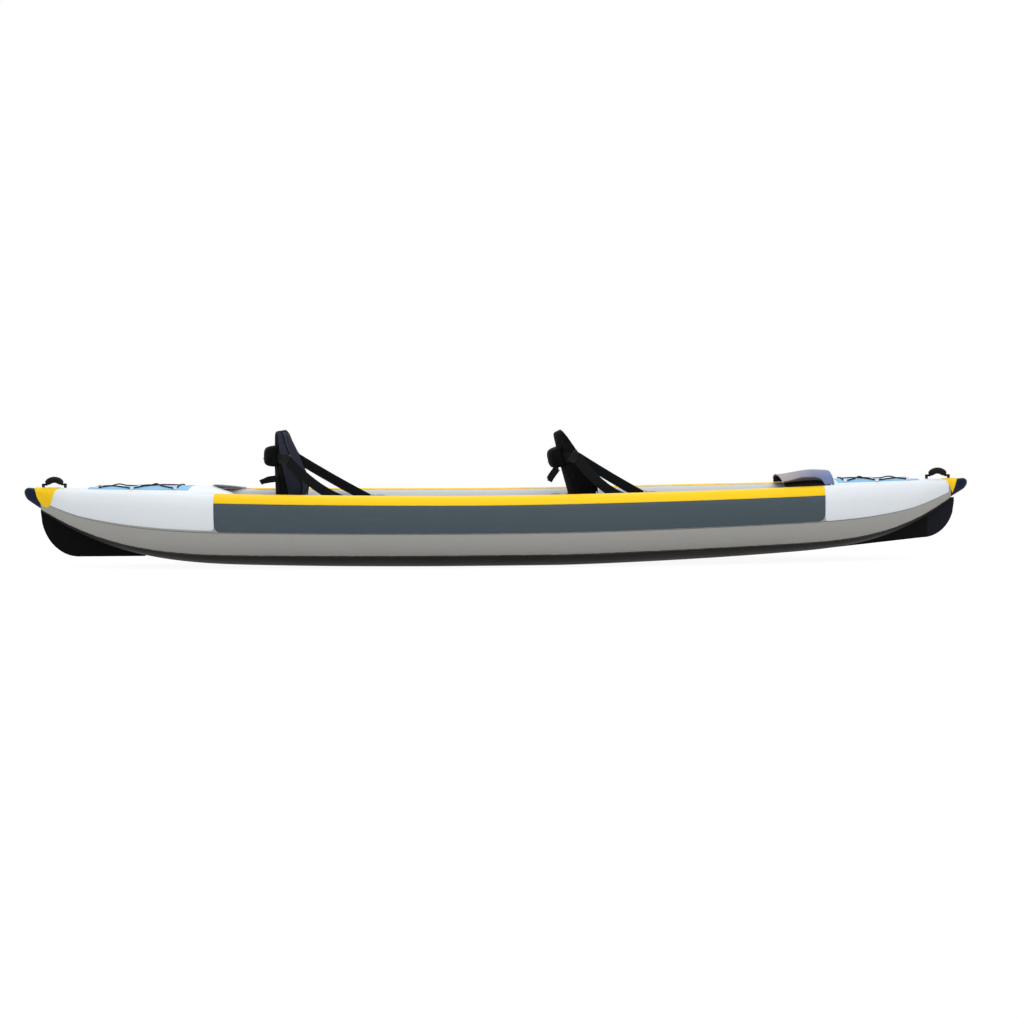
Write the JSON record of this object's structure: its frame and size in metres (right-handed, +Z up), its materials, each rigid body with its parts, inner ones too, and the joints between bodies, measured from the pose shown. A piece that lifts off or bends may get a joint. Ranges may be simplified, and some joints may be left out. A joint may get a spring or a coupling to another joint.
{
  "type": "tandem kayak",
  "caption": "Open inflatable tandem kayak: side tubes and floor chamber, end decks with bungee lacing, splash guard, padded folding seats, carry handles, valves, drain and skegs.",
  "frame": {"origin": "bottom centre of the whole object: on the keel's flat, midway between bow and stern tips", "axes": "+X to the bow, +Y to port, +Z up; the hull's flat bottom rests on Z = 0"},
  "size_m": [4.3982, 0.9038, 0.6304],
  "materials": {
    "bottom_black": "coated fabric, fine weave",
    "floor_grey": "coated fabric, smooth",
    "mat_grey": "foam mat, fine grooves",
    "side_grey": "coated woven fabric",
    "panel_charcoal": "coated fabric, satin",
    "trim_yellow": "coated fabric, satin",
    "deck_white": "coated fabric, satin",
    "deck_blue": "coated fabric, satin",
    "guard_grey": "woven cloth",
    "lining_black": "woven cloth",
    "cap_navy": "moulded, satin",
    "skeg_black": "moulded, satin",
    "cord_black": "braided",
    "webbing_black": "woven webbing",
    "grip_black": "moulded, matte",
    "patch_grey": "coated fabric, satin",
    "ring_steel": "satin",
    "clip_brass": "cast, satin",
    "valve_black": "moulded",
    "seat_black": "padded woven cloth",
    "seat_charcoal": "padded woven cloth",
    "buckle_black": "moulded"
  },
  "bodies": {
    "hull": {"hull_bottom": "bottom_black", "floor_chamber": "floor_grey", "floor_mat": "mat_grey", "starboard_side_chamber": "side_grey", "port_side_chamber": "side_grey", "starboard_rub_panel": "panel_charcoal", "port_rub_panel": "panel_charcoal", "starboard_gunwale_strip": "trim_yellow", "port_gunwale_strip": "trim_yellow", "bow_deck": "deck_white", "stern_deck": "deck_white", "deck_side_panels": "deck_white", "deck_inserts": "deck_blue", "splash_guard": "guard_grey", "splash_guard_lining": "lining_black", "bow_nose_cap": "cap_navy", "stern_nose_cap": "cap_navy", "bow_end_patch": "trim_yellow", "stern_end_patch": "trim_yellow", "bow_skeg": "skeg_black", "stern_skeg": "skeg_black", "bow_lacing": "cord_black", "stern_lacing": "cord_black", "lacing_loops": "deck_white", "handle_anchors": "webbing_black", "ring_patches": "patch_grey", "ring_tabs": "webbing_black", "strap_rings": "ring_steel", "side_handle_patches": "trim_yellow", "valve_bodies": "valve_black", "valve_springs": "ring_steel", "drain_fitting": "valve_black", "rear_seat_cushion": "seat_black", "front_seat_cushion": "seat_black", "rear_seat_straps": "webbing_black", "front_seat_straps": "webbing_black", "strap_hooks": "clip_brass", "seat_welts": "seat_black"},
    "rear_back": {"rear_backrest": "seat_charcoal", "rear_seat_pouch": "seat_black", "rear_seat_buckles": "buckle_black", "rear_strap_tails": "webbing_black"},
    "front_back": {"front_backrest": "seat_charcoal", "front_seat_pouch": "seat_black", "front_seat_buckles": "buckle_black", "front_strap_tails": "webbing_black"},
    "bow_handle": {"bow_handle_strap": "webbing_black", "bow_handle_grip": "grip_black"},
    "stern_handle": {"stern_handle_strap": "webbing_black", "stern_handle_grip": "grip_black"},
    "starboard_handle": {"starboard_side_handle": "webbing_black"},
    "port_handle": {"port_side_handle": "webbing_black"},
    "floor_plunger": {"floor_valve_plunger": "valve_black"},
    "starboard_plunger": {"starboard_valve_plunger": "valve_black"},
    "port_plunger": {"port_valve_plunger": "valve_black"},
    "floor_cap": {"floor_valve_cap": "valve_black"},
    "starboard_cap": {"starboard_valve_cap": "valve_black"},
    "port_cap": {"port_valve_cap": "valve_black"},
    "plug": {"drain_plug": "valve_black"}
  },
  "joints": [
    {"name": "rear_backrest_fold", "type": "hinge", "parent": "hull", "child": "rear_back", "pos_m": [-1, 0, 0.20012], "axis": [0, 1, 0], "range_deg": [0, 42], "deforming": ["rear_seat_straps"]},
    {"name": "front_backrest_fold", "type": "hinge", "parent": "hull", "child": "front_back", "pos_m": [0.395, 0, 0.19812], "axis": [0, 1, 0], "range_deg": [0, 50], "deforming": ["front_seat_straps"]},
    {"name": "bow_handle_swing", "type": "hinge", "parent": "hull", "child": "bow_handle", "pos_m": [2.062, 0, 0.38609], "axis": [1, 0, 0], "range_deg": [-60, 60], "stiffness_Nm_per_rad": 0.05},
    {"name": "stern_handle_swing", "type": "hinge", "parent": "hull", "child": "stern_handle", "pos_m": [-2.06, 0, 0.38609], "axis": [1, 0, 0], "range_deg": [-60, 60], "stiffness_Nm_per_rad": 0.05},
    {"name": "starboard_handle_lift", "type": "hinge", "parent": "hull", "child": "starboard_handle", "pos_m": [0.09596, -0.30114, 0.25842], "axis": [1, 0.0033, 0], "range_deg": [0, 120]},
    {"name": "port_handle_lift", "type": "hinge", "parent": "hull", "child": "port_handle", "pos_m": [0.09596, 0.30114, 0.25842], "axis": [-1, 0.0033, 0], "range_deg": [0, 120]},
    {"name": "floor_valve_push", "type": "slide", "parent": "hull", "child": "floor_plunger", "axis": [0, 0, -1], "range_m": [0, 0.006], "stiffness_N_per_m": 300, "springref_m": -0.004, "deforming": ["valve_springs"]},
    {"name": "starboard_valve_push", "type": "slide", "parent": "hull", "child": "starboard_plunger", "axis": [-0.0205, -0.9173, -0.3977], "range_m": [0, 0.006], "stiffness_N_per_m": 300, "springref_m": -0.004, "deforming": ["valve_springs"]},
    {"name": "port_valve_push", "type": "slide", "parent": "hull", "child": "port_plunger", "axis": [-0.0205, 0.9173, -0.3977], "range_m": [0, 0.006], "stiffness_N_per_m": 300, "springref_m": -0.004, "deforming": ["valve_springs"]},
    {"name": "floor_valve_cap_twist", "type": "hinge", "parent": "hull", "child": "floor_cap", "pos_m": [-1.15, 0, 0.12436], "axis": [0, 0, 1], "range_deg": [0, 90]},
    {"name": "starboard_valve_cap_twist", "type": "hinge", "parent": "hull", "child": "starboard_cap", "pos_m": [-0.29999, -0.27113, 0.16068], "axis": [0.0205, 0.9173, 0.3977], "range_deg": [0, 90]},
    {"name": "port_valve_cap_twist", "type": "hinge", "parent": "hull", "child": "port_cap", "pos_m": [-0.29999, 0.27113, 0.16068], "axis": [0.0205, -0.9173, 0.3977], "range_deg": [0, 90]},
    {"name": "drain_plug_twist", "type": "hinge", "parent": "hull", "child": "plug", "pos_m": [-1.235, 0, 0.12933], "axis": [0, 0, 1], "range_deg": [0, 90]}
  ]
}
